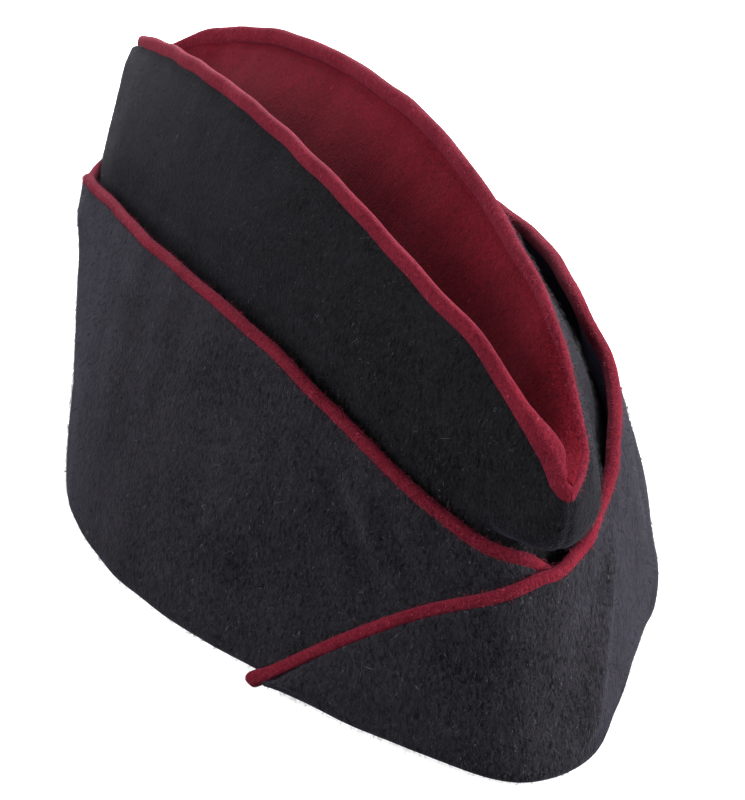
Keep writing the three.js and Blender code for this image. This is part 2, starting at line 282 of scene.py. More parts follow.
class Loop:
    """An edge right round the cap. Stations run from -1 at the rear, along the right side to 0 at the front,
    and back along the left side to 1."""

    SAMPLES = 3000  # a side

    def __init__(self, edge):
        turn = np.linspace(0, math.pi, self.SAMPLES)
        along = (1 - np.cos(turn)) / 2
        right = oval_points(edge, "right", along)[::-1]
        left = oval_points(edge, "left", along)
        points = np.concatenate([right, left[1:]])
        self.stations = np.concatenate([-along[::-1], along[1:]])
        self.points = soften(points, EDGE_SOFTNESS[edge])
        ahead = np.roll(self.points, -1, axis=0)[:, :2] - np.roll(self.points, 1, axis=0)[:, :2]
        ahead[0] = self.points[1, :2] - self.points[-2, :2]
        ahead[-1] = ahead[0]
        ahead = unit(ahead)
        self.inward = np.stack([-ahead[:, 1], ahead[:, 0], np.zeros(len(ahead))], axis=1)
        middle = self.points.mean(axis=0)
        if ((middle - self.points) * self.inward).sum() < 0:
            self.inward *= -1
        moves = self.waves(edge)
        for push in PUSHES[edge]:
            aside = np.array([0.0, push.get("left", 0.0), push.get("up", 0.0)])
            shift = aside - self.inward * push.get("out", 0.0)
            moves += shift * bump((self.stations - push["station"]) / push["reach"])[:, None]
        self.points = self.points + moves

    def waves(self, edge):
        """Small waves right round the edge, in and out and, except at the rim, up and down."""
        random = np.random.default_rng(WAVES["seed"] + list(EDGES).index(edge))
        step = np.linalg.norm(np.diff(self.points, axis=0), axis=1)
        turn = 2 * math.pi * np.concatenate([[0], np.cumsum(step)]) / step.sum()
        out, up = (
            sum(np.sin(count * turn + random.uniform(0, 2 * math.pi)) for count in WAVES["counts"]) / 2
            for _ in range(2)
        )
        rise = up * WAVES["up"] * (edge != "rim")
        return np.array([0, 0, 1.0]) * rise[:, None] - self.inward * (out * WAVES["out"])[:, None]

    def sample(self, values, station):
        return np.stack([np.interp(station, self.stations, values[:, k]) for k in range(3)], axis=-1)

    def inward_at(self, station):
        return unit(self.sample(self.inward, station))

    def at(self, station, inset=0.0):
        shift = self.inward_at(station) * np.asarray(inset, float)[..., None]
        return self.sample(self.points, station) + shift


LOOPS = {edge: Loop(edge) for edge in EDGES}


def by_side(station, key):
    return np.where(np.asarray(station) < 0, SIDES["right"][key], SIDES["left"][key])


def stations_between(start, end, count):
    """Closer together towards the two ends of the cap, where the edges turn sharply."""
    angle = np.sign([start, end]) * np.arccos(1 - 2 * np.abs([start, end]))
    a = np.linspace(angle[0], angle[1], count)
    return np.sign(a) * (1 - np.cos(a)) / 2


# ---- Surfaces ----


def band_point(station, share, inset):
    low = LOOPS["rim"].at(station, inset)
    high = LOOPS["band_top"].at(station, inset)
    share = np.asarray(share, float)
    point = low + (high - low) * share[..., None]
    belly = by_side(station, "band_belly") * 4 * share * (1 - share) * np.sin(np.pi * np.abs(station))
    point[..., 1] += by_side(station, "sign") * belly
    return point


def band_height(stations):
    """From the rim to the band's top edge, along the band."""
    return np.linalg.norm(LOOPS["band_top"].at(stations) - LOOPS["rim"].at(stations), axis=-1)


def catmull_rom(knots, share):
    """The centripetal curve through some knots, each an array of points, at a share of the way along."""
    pieces = len(knots) - 1
    knots = [2 * knots[0] - knots[1], *knots, 2 * knots[-1] - knots[-2]]
    place = share * pieces
    piece = np.minimum(place.astype(int), pieces - 1)
    s = (place - piece)[..., None]
    stack = np.stack(knots)
    index = np.arange(piece.size).reshape(piece.shape)
    flat = stack.reshape(len(knots), -1, 3)
    a, b, c, d = (flat[piece + k, index] for k in range(4))

    def gap(p, q):
        return np.maximum(np.linalg.norm(p - q, axis=-1, keepdims=True) ** 0.5, 1e-4)

    before, here, after = gap(a, b), gap(b, c), gap(c, d)
    start = ((b - a) / before - (c - a) / (before + here) + (c - b) / here) * here
    end = ((c - b) / here - (d - b) / (here + after) + (d - c) / after) * here
    return (
        (2 * s**3 - 3 * s**2 + 1) * b
        + (s**3 - 2 * s**2 + s) * start
        + (3 * s**2 - 2 * s**3) * c
        + (s**3 - s**2) * end
    )


def wall_point(station, share, inset):
    """From inside the rim (share 0), up behind the band, to the crown seam (share 1)."""
    station, share = np.broadcast_arrays(np.asarray(station, float), np.asarray(share, float))
    along = np.abs(station)
    sign = by_side(station, "sign")
    behind = BAND_FELT + BAND_ROOM * (1 - bump(along / FRONT_HUG)) + inset
    near_end = np.maximum(bump(along / STAND_END), bump((1 - along) / STAND_END))
    even = (SIDES["right"]["stand_off"] + SIDES["left"]["stand_off"]) / 2
    stand = by_side(station, "stand_off")
    stand = stand + (even - stand) * near_end
    stand = stand * (END_ROOM + (1 - END_ROOM) * np.sin(np.pi * along) ** by_side(station, "stand_power"))
    stand = stand + REAR_ROOM["room"] * bump((1 - along) / REAR_ROOM["reach"])
    bottom = band_point(station, 0.0, behind)
    belly = band_point(station, 0.5, behind + 0.5 * stand)
    band_top = band_point(station, WALL_LEAVES_BAND, behind + stand)
    seam = LOOPS["crown"].at(station, inset - WALL_FELT)
    seam[..., 2] -= SEAM_DROP["crown"]
    seam[..., 1] -= HEEL["aside"] * bump((station - HEEL["station"]) / HEEL["reach"])
    nose = band_top + (seam - band_top) * NOSE["share"]
    puff = 1 - smooth_step(along / by_side(station, "nose_length"))
    nose[..., 0] += NOSE["reach"] * puff
    nose[..., 1] += sign * by_side(station, "nose_width") * puff * smooth_step(along / NOSE["onset"])
    nose[..., 1] += sign * WALL_BELLY * np.sin(np.pi * along) ** 2
    return catmull_rom([bottom, belly, band_top, nose, seam], share)


def gusset_point(along, across):
    right, left = (LOOPS["crown"].at(sign * along, GUSSET_SEAM["inset"]) for sign in (-1, 1))
    length = TIP_CREASE["length"]
    crease = TIP_CREASE["across"] * (1 - smooth_step((along - length) / length))
    to_right, to_left = (crease - across) / (crease + 1), (across - crease) / (1 - crease)
    from_crease = np.where(across < crease, to_right, to_left)
    flat = math.hypot(1, FOLD["roundness"]) - FOLD["roundness"]
    fold = 1 - (np.hypot(from_crease, FOLD["roundness"]) - FOLD["roundness"]) / flat
    opening = smooth_step((along - TIP_CREASE["start"]) / TIP_CREASE["opens_by"])
    valley = FOLD["depth"] * np.sin(np.pi * along) ** FOLD["power"] * opening * fold
    point = right + (left - right) * ((across + 1) / 2)[..., None]
    low = smooth_step((along - GUSSET_SEAM["fade_start"]) / GUSSET_SEAM["fade"])
    seam = GUSSET_SEAM["front"] + (GUSSET_SEAM["rear"] - GUSSET_SEAM["front"]) * low
    at_heel = (along - GUSSET_SEAM["heel_start"]) / GUSSET_SEAM["heel_fade"]
    seam -= GUSSET_SEAM["heel_rise"] * smooth_step(at_heel)
    point[..., 2] -= seam + valley
    return point


def wrap_share(station):
    """The share of the band's height at which the left half ends."""
    on_right = WRAP["top"] * np.maximum(1 + station / WRAP["end"], 0) ** WRAP["power"]
    on_left = WRAP["top"] + (1 - WRAP["top"]) * smooth_step(station / WRAP["fade"])
    return np.where(station < 0, on_right, on_left)


def wrap_out(station):
    return (BAND_FELT + WRAP["lift"]) * (1 - smooth_step(station / WRAP["fade"]))


# ---- Solids ----


INSIDE = np.array([-140.0, 0.0, 50.0])  # a point in the middle of the cap


def grid_normals(grid, closed=False):
    """Unit normals of a grid of points, out of the cap. A closed grid's first column is also its last."""
    open_grid = grid[:-1] if closed else grid
    if closed:
        along = np.roll(open_grid, -1, axis=0) - np.roll(open_grid, 1, axis=0)
    else:
        along = np.gradient(grid, axis=0)
    normal = unit(np.cross(along, np.gradient(open_grid, axis=1)))
    if ((open_grid - INSIDE) * normal).sum() < 0:
        normal = -normal
    return np.concatenate([normal, normal[:1]]) if closed else normal


def ladder_cap(first, around, flip):
    """Faces that close the end of a loft: each rung joins a point to the one facing it."""
    last = first + around - 1
    faces = [(first + i, first + i + 1, last - i - 1, last - i) for i in range(around // 2 - 1)]
    return [face[::-1] for face in faces] if flip else faces


def ring_faces(count, around):
    """Faces from each closed ring of points to the next."""
    i, j = np.meshgrid(np.arange(count - 1), np.arange(around), indexing="ij")
    k = (j + 1) % around
    here, onward = i * around, (i + 1) * around
    return np.stack([here + j, onward + j, onward + k, here + k], axis=-1).reshape(-1, 4).tolist()


def loft(rings):
    """A closed body through closed rings of points, with both ends capped."""
    count, around = rings.shape[:2]
    faces = ring_faces(count, around)
    faces += ladder_cap(0, around, False)
    faces += ladder_cap((count - 1) * around, around, True)
    return rings.reshape(-1, 3), faces


def sheet_rings(middle, normal, thickness):
    """Rings round a felt sheet with rounded edges, from its middle surface."""
    arc = ROWS["edges"]
    half = np.broadcast_to(np.asarray(thickness, float) / 2, middle.shape[:2])[..., None]
    outer = middle + normal * half
    inner = middle - normal * half
    angles = (np.arange(arc) + 0.5) / arc * math.pi

    def edge(row, beyond):
        along = unit(middle[:, row] - middle[:, beyond])
        turned = [normal[:, row] * math.cos(a) + along * math.sin(a) for a in angles]
        return np.stack([middle[:, row] + way * half[:, row] for way in turned], axis=1)

    top = edge(-1, -2)
    bottom = edge(0, 1)[:, ::-1]
    return np.concatenate([bottom[:, arc // 2 :], outer, top, inner[:, ::-1], bottom[:, : arc // 2]], axis=1)


def groove(grid, normal, line, depth, reach):
    """Sinks a grid of points in a narrow groove along one of its own lines."""
    away = np.linalg.norm(grid - line, axis=-1)
    return grid - normal * (depth * np.exp(-((away / reach) ** 2)))[..., None]


def swell(points, normal, held, seed):
    """Moves a grid of points gently in and out along its normals. held is 0 where the felt is sewn down."""
    random = np.random.default_rng(seed)
    flat = points.reshape(-1, 3)
    centres = flat[random.integers(0, len(flat), SWELL["hills"])]
    heights = random.uniform(-1, 1, SWELL["hills"]) * SWELL["height"]
    sizes = random.uniform(*SWELL["sizes"], SWELL["hills"])
    rise = np.zeros(len(flat))
    for centre, height, size in zip(centres, heights, sizes):
        away = (flat - centre) / (np.array([SWELL["along"], SWELL["along"], SWELL["up"]]) * size)
        rise += height * np.exp(-0.5 * (away**2).sum(axis=1))
    return points + normal * (rise.reshape(points.shape[:2]) * held)[..., None]


def folded(points, normal, side):
    """Raises a band half's folds, and sinks its hollows, along its normals."""
    for fold in FOLDS[side]:
        start, end = (band_point(*fold[key], 0.0) for key in ("start", "end"))
        line = end - start
        share = np.clip(((points - start) * line).sum(axis=-1) / (line * line).sum(), 0, 1)
        away = np.linalg.norm(points - start - share[..., None] * line, axis=-1)
        points = points + normal * (fold["out"] * np.exp(-((away / fold["width"]) ** 2)))[..., None]
    return points


# ---- From the cap's millimetres to the frame's metres ----

WALL_LOW, WALL_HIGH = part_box("crown_side_right")
SEAM_GAP = 0.225  # from the CAD's right wall to the centre line
WALL_LENGTH = 290.0  # from the rear of the CAD's right wall to X = 0
ORIGIN = np.array([WALL_LOW.x + WALL_LENGTH * MM, WALL_HIGH.y + SEAM_GAP * MM, 0.0])


def to_frame(points):
    return np.asarray(points) * MM + ORIGIN


CREASE_ANGLE = 55


def add_object(name, points, faces, material):
    mesh = bpy.data.meshes.new(name)
    mesh.from_pydata(points, [], faces)
    mesh.materials.append(material)
    made = bpy.data.objects.new(name, mesh)
    bpy.context.scene.collection.objects.link(made)
    return made


def make_piece(name, points, faces, material, slot, stands_for=()):
    piece = add_object(name, to_frame(points).tolist(), faces, material)
    piece.data.validate()
    piece.data.shade_smooth()
    piece.data.set_sharp_from_angle(angle=math.radians(CREASE_ANGLE))
    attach(piece, "root")
    if stands_for:
        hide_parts(*stands_for)
    return piece


SEWN_POWER = 0.8  # how soon a panel is free to swell, away from its sewn edges
ROLLED_ROWS = 1 / 3  # the share of a band's rows that lie round the rim, where it doesn't swell


def whole_round(count):
    half = stations_between(0.0, 1.0, count)
    return np.concatenate([-half[::-1], half[1:]])


def ends_held(stations):
    """0 at the front and rear seams, and 1 away from them."""
    return smooth_step(np.minimum(np.abs(stations), 1 - np.abs(stations)) / SWELL["front_and_rear"])


def wall_shell():
    """The middle surfaces and normals of both crown sides, made as one closed shell."""
    columns, rows = COLUMNS["walls"], ROWS["walls"]
    stations = whole_round(columns)
    tall = band_height(stations)
    start = WALL_START / tall / 2
    v = np.linspace(0, 1, rows)
    top = 1 - HEEL_TUCK["share"] * bump((1 - np.abs(stations)) / HEEL_TUCK["reach"])
    shares = start[:, None] + (top - start)[:, None] * v[None]
    shell = wall_point(stations[:, None], shares, WALL_FELT / 2)
    for row in range(rows):
        width = CHIN["plain"] + CHIN["round"] * bump((v[row] - CHIN["share"]) / CHIN["reach"])
        shell[:, row] = soften(shell[:, row], width)
    normal = grid_normals(shell, closed=True)
    up = np.clip((v - WALL_SHOWS) / (1 - WALL_SHOWS), 0, 1)
    held = (np.sin(np.pi * up) ** SEWN_POWER)[None] * ends_held(stations)[:, None]
    shell = swell(shell, normal, held, SEEDS["walls"])
    tuck = WALL_TUCK["depth"] * smooth_step((v - WALL_TUCK["share"]) / (1 - WALL_TUCK["share"]))
    shell = shell - normal * tuck[None, :, None]
    for column in (0, columns - 1):
        shell = groove(shell, normal, shell[column], **SEAM_GROOVE)
    return {
        "right": (shell[:columns], normal[:columns]),
        "left": (shell[columns - 1 :], normal[columns - 1 :]),
    }


def make_walls(material):
    made = {}
    for side, (middle, normal) in wall_shell().items():
        rings = sheet_rings(middle, normal, WALL_FELT)
        piece = make_piece(f"crown_{side}", *loft(rings), material, "charcoal_felt", [f"crown_side_{side}"])
        made[side] = (piece, middle)
    return made


def make_gusset(material):
    along = stations_between(GUSSET_SEAM["starts"], GUSSET_SEAM["ends"], COLUMNS["gusset"])
    across = np.sin(np.linspace(-1, 1, ROWS["gusset"]) * math.pi / 2)
    a, c = np.meshgrid(along, across, indexing="ij")
    middle = gusset_point(a, c)
    normal = grid_normals(middle)
    if normal[..., 2].sum() < 0:
        normal = -normal
    sewn_ends = smooth_step(np.minimum(a, 1 - a) / GUSSET_HELD["ends"])
    held = np.sin(np.pi * (c + 1) / 2) ** GUSSET_HELD["power"] * sewn_ends
    middle = swell(middle, normal, held, SEEDS["gusset"])
    deeper = GUSSET_GROOVE["depth"] * smooth_step(a / GUSSET_GROOVE["fade"])
    for edge in (0, -1):
        middle = groove(middle, normal, middle[:, edge][:, None], deeper, GUSSET_GROOVE["reach"])
    rings = sheet_rings(middle, normal, GUSSET_FELT)
    return make_piece("gusset", *loft(rings), material, "burgundy_felt", ["top_gusset"]), middle


def roll_under(outer, inward, width, height, sweep, flange):
    """The rest of a band's middle surface below its lowest outer point: round the rim, and up inside."""
    centre = outer + inward * width[:, None] / 2

    def round_point(angle):
        side = -inward * (width / 2 * np.cos(angle))[:, None]
        down = np.array([0, 0, -1.0]) * (height * np.sin(angle))[:, None]
        return centre + side + down

    onward = unit(
        inward * (width / 2 * np.sin(sweep))[:, None]
        - np.array([0, 0, 1.0]) * (height * np.cos(sweep))[:, None]
    )
    inner = round_point(sweep)
    inside, rolled = (np.linspace(1, 0, ROWS[part] + 1)[:-1] for part in ("flange", "rolled"))
    points = [inner + onward * (flange * f)[:, None] for f in inside]
    points += [round_point(sweep * f) for f in rolled]
    return np.stack(points, axis=1)


def band_middle(stations, top_share, out, raise_rim, open_end):
    """The band's middle surface, from the flange inside, round the rim and up to its top edge."""
    mid = BAND_FELT / 2
    tall = band_height(stations)
    start = np.minimum((ROLL["height"] + raise_rim) / tall, ROLL["highest_start"] * top_share)
    shares = start[:, None] + (top_share - start)[:, None] * np.linspace(0, 1, ROWS["band"])[None]
    s = np.broadcast_to(stations[:, None], shares.shape)
    outer = band_point(s, shares, mid - out[:, None])
    inward = LOOPS["rim"].inward_at(stations)
    low = outer[:, 0]
    depth = low[:, 2] - (LOOPS["rim"].at(stations)[:, 2] + raise_rim) - mid
    width = 2 * ROLL["half_width"] + out
    sweep = math.pi * (1 - ROLL["open_part"] * open_end)
    flange = ROLL["flange"] * (1 - ROLL["open_flange"] * open_end)
    under = roll_under(low, inward, width, depth, sweep, flange)
    return np.concatenate([under, outer], axis=1)


def dip_under_flap(stations):
    """How far the right half's top edge dips, in millimetres, to pass under the left half at the front."""
    to_left = LOOPS["band_top"].at(stations)[:, 1]
    in_front = stations > UNDER_FLAP["rear_limit"]
    near = np.clip(1 + to_left / UNDER_FLAP["top_width"], 0, 1) * in_front
    beyond = UNDER_FLAP["steepness"] * np.maximum(to_left, 0) * in_front
    return UNDER_FLAP["top_drop"] * near ** UNDER_FLAP["top_power"] + beyond


def right_band_middle():
    stations = -stations_between(0.0, 1.0, COLUMNS["band_right"])[::-1]
    tall = band_height(stations)
    top = 1 - (SEAM_DROP["band_top"] + dip_under_flap(stations)) / tall
    covered = (stations + WRAP["end"] - UNDER_FLAP["rim_start"]) / UNDER_FLAP["rim_fade"]
    raised = UNDER_FLAP["rim_rise"] * smooth_step(covered)
    nothing = np.zeros_like(stations)
    return stations, band_middle(stations, top, nothing, raised, nothing)


def left_band_middle():
    stations = stations_between(-WRAP["end"] * FLAP_EDGE["start"], 1.0, COLUMNS["band_left"])
    tall = band_height(stations)
    aslant = 1 + FLAP_EDGE["aslant"] * smooth_step(-stations / FLAP_EDGE["aslant_fade"])
    top = np.maximum(wrap_share(stations) - SEAM_DROP["band_top"] * aslant / tall, FLAP_EDGE["least_share"])
    open_end = 1 - smooth_step((stations - FLAP_EDGE["opens"]) / FLAP_EDGE["opens_by"])
    return stations, band_middle(stations, top, wrap_out(stations), np.zeros_like(stations), open_end)


def make_band(side, material):
    stations, middle = right_band_middle() if side == "right" else left_band_middle()
    normal = grid_normals(middle)
    seam = 0 if side == "right" else len(stations) - 1
    normal[seam, :, 1] = 0
    normal[seam] = unit(normal[seam])
    rows_up = np.arange(middle.shape[1]) / (middle.shape[1] - 1)
    up = np.clip((rows_up - ROLLED_ROWS) / (1 - ROLLED_ROWS), 0, 1)
    held = (np.sin(np.pi * up) ** SEWN_POWER)[None] * ends_held(stations)[:, None]
    middle = swell(middle, normal, held, SEEDS[f"band_{side}"])
    middle = folded(middle, normal, side)
    middle = groove(middle, normal, middle[seam], **SEAM_GROOVE)
    rings = sheet_rings(middle, normal, BAND_FELT)
    return make_piece(f"band_{side}", *loft(rings), material, "charcoal_felt", [f"curtain_{side}"]), middle


def make_piping(kind, side, path, outward, slim, material):
    """A folded strip of felt along a path: a rounded section, thin across and taller along the felt."""
    size = PIPING[kind]
    ahead = unit(np.gradient(path, axis=0))
    across = unit(outward - ahead * (outward * ahead).sum(axis=1, keepdims=True))
    up = np.cross(ahead, across)
    if up[:, 2].sum() < 0:
        up = -up
    centre = path - up * (size["half_height"] - size["top"])
    half_width = (size["half_width"] * slim)[:, None]
    half_height = (size["half_height"] * np.minimum(slim, 1) ** PULL_POWER)[:, None]
    rings = []
    for i in range(ROWS["piping"]):
        a = 2 * math.pi * (i + 0.5) / ROWS["piping"] + math.pi / 2
        c, s = math.cos(a), math.sin(a)
        c, s = (math.copysign(abs(part) ** PIPING_ROUNDNESS, part) for part in (c, s))
        rings.append(centre + across * half_width * c + up * half_height * s)
    points, faces = loft(np.stack(rings, axis=1))
    cad_nodes = [f"{size['cad_name']}_{side}"]
    return make_piece(f"{kind}_edge_{side}", points, faces, material, "burgundy_piping", cad_nodes)


def hooked(path, outward, radius):
    """A path carried on from its first point round under the rim, and its outward directions."""
    turn = np.linspace(HOOK["turn"], 0, HOOK["steps"] + 1)[:-1]
    first, out = path[0], unit(outward[0] * np.array([1, 1, 0]))
    rearward = LOOPS["rim"].at(-WRAP["end"] - HOOK["reach"]) - LOOPS["rim"].at(-WRAP["end"])
    rearward = unit(rearward * np.array([1, 1, 0]))
    down = np.array([0, 0, -1.0])
    centre = first - out * radius
    c, s = np.cos(turn)[:, None], np.sin(turn)[:, None]
    drift = HOOK["drift"] * (1 - np.exp(-turn))[:, None]
    curl = centre + out * radius * c + down * radius * HOOK["squash"] * s + rearward * drift
    return np.concatenate([curl, path]), np.concatenate([out * c + down * s, outward])


def crown_piping(side, material):
    stations = SIDES[side]["sign"] * stations_between(0.0, 1.0, COLUMNS["crown_edge"])
    path = LOOPS["crown"].at(stations)
    outward = -LOOPS["crown"].inward_at(stations)
    slim = 1 - TIP_SLIMMING["by"] * bump(np.linalg.norm(path - path[0], axis=1) / TIP_SLIMMING["reach"])
    rounded = bump(np.linalg.norm(path - path[-1], axis=1) / HEEL_SLIMMING["reach"])
    slim = slim * PULLED_THIN["crown"] * (1 - HEEL_SLIMMING["by"] * rounded)
    path = path - np.array([HEEL_SLIMMING["back"], 0, HEEL_SLIMMING["down"]]) * rounded[:, None]
    if side == "right":
        rolled = ROLLED_LEAF["wider"] * bump((stations - ROLLED_LEAF["station"]) / ROLLED_LEAF["reach"])
        slim = slim + rolled / PIPING["crown"]["half_width"]
        path = path - outward * rolled[:, None]
    return make_piping("crown", side, path, outward, slim, material)


def right_band_piping(material):
    stations = stations_between(-1.0, UNDER_FLAP["overlap"], COLUMNS["band_edge_right"])
    path = band_point(stations, 1 - dip_under_flap(stations) / band_height(stations), BAND_FELT / 2)
    outward = -LOOPS["band_top"].inward_at(stations)
    slim = np.full(len(path), PULLED_THIN["band_right"])
    return make_piping("band", "right", path, outward, slim, material)


def left_band_piping(material):
    stations = stations_between(-WRAP["end"] * FLAP_EDGE["piping_start"], 1.0, COLUMNS["band_edge_left"])
    path = band_point(stations, wrap_share(stations), BAND_FELT / 2 - wrap_out(stations))
    outward = -LOOPS["band_top"].inward_at(stations)
    pulled = smooth_step((stations - PULL_CHANGES["station"]) / PULL_CHANGES["within"])
    slim = PULLED_THIN["wrap"] + (PULLED_THIN["band_left"] - PULLED_THIN["wrap"]) * pulled
    slim = slim + HOOK["wider"] * bump((stations - stations[0]) / HOOK["reach"])
    path, outward = hooked(path, outward, ROLL["half_width"] + (BAND_FELT + WRAP["lift"]) / 2)
    slim = np.concatenate([np.full(HOOK["steps"], slim[0]), slim])
    return make_piping("band", "left", path, outward, slim, material)


# ---- Nap ----

NAP = {
    "charcoal": dict(length=1.2, thickness=0.045, lift=0.45, count=23000),
    "burgundy": dict(length=0.9, thickness=0.04, lift=0.55, count=12000),
    "piping": dict(length=0.65, thickness=0.035, lift=0.9, count=4500),
    "lint": dict(length=1.7, thickness=0.03, lift=0.35, count=70),
}
# How hairs differ: combed down by so much, and how widely their directions, lifts, lengths and widths vary.
# A hair starts steeper than its lift, ends flatter, and is rooted a little below the felt.
HAIR_SHAPE = dict(comb=-0.8, tangle=0.8, lifts=(0.3, 1.6), steeper=0.5, flatter=0.3, lengths=0.4,
                  widths=(0.6, 1.4), turn=0.1, root=0.1)
HAIR_FACES = [(0, 2, 1), (0, 3, 2), (0, 1, 3), (4, 1, 2), (4, 2, 3), (4, 3, 1)]
THIRDS = (0.0, 2 * math.pi / 3, 4 * math.pi / 3)
SPINE = dict(rear=-230, front=-40, height=20.0)  # a line inside the cap, which its outside looks away from


def outer_triangles(piece, upward):
    """Corners and normals of the triangles of a piece that look out of the cap."""
    mesh = piece.data
    mesh.calc_loop_triangles()
    corners = np.empty(len(mesh.vertices) * 3)
    mesh.vertices.foreach_get("co", corners)
    index = np.empty(len(mesh.loop_triangles) * 3, int)
    mesh.loop_triangles.foreach_get("vertices", index)
    triangles = (corners.reshape(-1, 3)[index.reshape(-1, 3)] - ORIGIN) / MM
    normal = np.cross(triangles[:, 1] - triangles[:, 0], triangles[:, 2] - triangles[:, 0])
    middle = triangles.mean(axis=1)
    spine = np.zeros_like(middle)
    spine[:, 0] = np.clip(middle[:, 0], SPINE["rear"], SPINE["front"])
    spine[:, 2] = SPINE["height"]
    seen = (normal[:, 2] if upward else ((middle - spine) * normal).sum(axis=1)) > 0
    return triangles[seen], normal[seen]


def hairs(triangles, normal, look, random):
    """Short bent fibres rooted all over some triangles, thickest at the bend, as points and faces."""
    count = look["count"]
    area = np.linalg.norm(normal, axis=1)
    pick = random.choice(len(triangles), count, p=area / area.sum())
    a, b = random.random((2, count))
    a, b = np.where(a + b > 1, 1 - a, a), np.where(a + b > 1, 1 - b, b)
    first, second, third = (triangles[pick, k] for k in range(3))
    root = first + (second - first) * a[:, None] + (third - first) * b[:, None]
    normal = unit(normal[pick])
    comb = np.array([0, 0, HAIR_SHAPE["comb"]]) + random.normal(0, HAIR_SHAPE["tangle"], (count, 3))
    comb = unit(comb - normal * (comb * normal).sum(axis=1, keepdims=True))
    rise = look["lift"] * random.uniform(*HAIR_SHAPE["lifts"], count)[:, None]
    start = unit(comb + normal * (rise + HAIR_SHAPE["steeper"]))
    finish = unit(comb + normal * (rise - HAIR_SHAPE["flatter"]))
    half = look["length"] * random.lognormal(0, HAIR_SHAPE["lengths"], count)[:, None] / 2
    across = unit(np.cross(start, normal + random.normal(0, HAIR_SHAPE["turn"], (count, 3))))
    other = unit(np.cross(start, across))
    thick = look["thickness"] * random.uniform(*HAIR_SHAPE["widths"], count)[:, None]
    bend = root + start * half
    ring = [bend + (across * math.cos(turn) + other * math.sin(turn)) * thick for turn in THIRDS]
    points = np.stack([root - normal * HAIR_SHAPE["root"], *ring, bend + finish * half], axis=1)
    points[..., 2] = np.maximum(points[..., 2], 0.0)
    faces = np.arange(count)[:, None, None] * points.shape[1] + np.array(HAIR_FACES)
    return points.reshape(-1, 3), faces.reshape(-1, 3).tolist()


def add_hairs(prefix, piece, kind, material, slot, seed, upward=False):
    points, faces = hairs(*outer_triangles(piece, upward), NAP[kind], np.random.default_rng(seed))
    return make_piece(f"{prefix}_{piece.name}", points, faces, material, slot)


# ---- Materials ----


def fill(tree, made, inputs):
    """Gives a node's inputs their values, or links them where a socket is given."""
    for name, value in inputs.items():
        if isinstance(value, bpy.types.NodeSocket):
            tree.links.new(value, made.inputs[name])
        else:
            made.inputs[name].default_value = value


def node(tree, kind, inputs, **settings):
    made = tree.nodes.new(kind)
    for name, value in settings.items():
        setattr(made, name, value)
    fill(tree, made, inputs)
    return made


def noise(tree, place, scale, detail, stretch=(1, 1, 1), distortion=0.0):
    """A noise pattern in the cap's own space, at so many waves a metre."""
    mapped = node(tree, "ShaderNodeMapping", {"Vector": place, "Scale": stretch}).outputs["Vector"]
    look = {"Vector": mapped, "Scale": scale, "Detail": detail, "Distortion": distortion}
    return node(tree, "ShaderNodeTexNoise", look).outputs["Fac"]


def ramp(tree, value, low, high, low_color=(0, 0, 0), high_color=(1, 1, 1)):
    made = node(tree, "ShaderNodeValToRGB", {"Fac": value})
    ends = made.color_ramp.elements
    ends[0].position, ends[1].position = low, high
    ends[0].color, ends[1].color = (*low_color, 1), (*high_color, 1)
    return made.outputs["Color"]


def mix(tree, share, first, second):
    inputs = {"Factor": share, "A": first, "B": second}
    return node(tree, "ShaderNodeMix", inputs, data_type="RGBA").outputs["Result"]


def relief(tree, **inputs):
    return node(tree, "ShaderNodeBump", inputs).outputs["Normal"]


def material_of(name):
    material = bpy.data.materials.new(name)
    material.use_nodes = True
    tree = material.node_tree
    return material, tree, tree.nodes["Principled BSDF"]


def place_of(tree):
    return node(tree, "ShaderNodeTexCoord", {}).outputs["Object"]


FELT_LOOK = {"Specular IOR Level": 0.02, "Sheen Roughness": 0.3}
FELT_ROUGHNESS = 0.86


def felt(name, dark, light, fleck, sheen, sheen_tint, grain_scale=1500, streak=0.35):
    """Pressed wool: short matted nap combed downwards, cloudy depth of colour, pale flecks and soft sheen."""
    material, tree, shader = material_of(name)
    place = place_of(tree)
    nap = noise(tree, place, grain_scale, detail=5, stretch=(1, 1, streak), distortion=0.6)
    tangle = noise(tree, place, grain_scale * 0.45, detail=6, stretch=(1, 1, 0.6), distortion=2.5)
    cloud = noise(tree, place, scale=55, detail=3)
    patch = noise(tree, place, scale=220, detail=4, stretch=(1, 1, 0.5), distortion=0.8)
    specks = noise(tree, place, grain_scale * 0.8, detail=2, stretch=(1, 1, 0.5), distortion=1.5)
    hairy = mix(tree, 0.5, ramp(tree, nap, low=0.32, high=0.68), ramp(tree, tangle, low=0.3, high=0.7))
    soft = mix(tree, 0.45, ramp(tree, cloud, low=0.35, high=0.65), ramp(tree, patch, low=0.3, high=0.7))
    depth = mix(tree, 0.22, hairy, soft)
    color = ramp(tree, depth, low=0.2, high=0.8, low_color=dark, high_color=light)
    lumps = relief(tree, Height=patch, Strength=0.15, Distance=0.0008)
    fill(tree, shader, {
        "Base Color": mix(tree, ramp(tree, specks, low=0.68, high=0.76), color, (*fleck, 1)),
        "Roughness": ramp(tree, tangle, low=0.2, high=0.8, low_color=[FELT_ROUGHNESS] * 3),
        "Normal": relief(tree, Height=depth, Strength=0.7, Distance=0.0005, Normal=lumps),
        "Sheen Weight": sheen,
        "Sheen Tint": (*sheen_tint, 1),
        **FELT_LOOK,
    })
    return material


FIBRE_LOOK = {"Roughness": 0.8, "Specular IOR Level": 0.03}
FIBRE_SHADES = dict(scale=900, darkest=0.25)


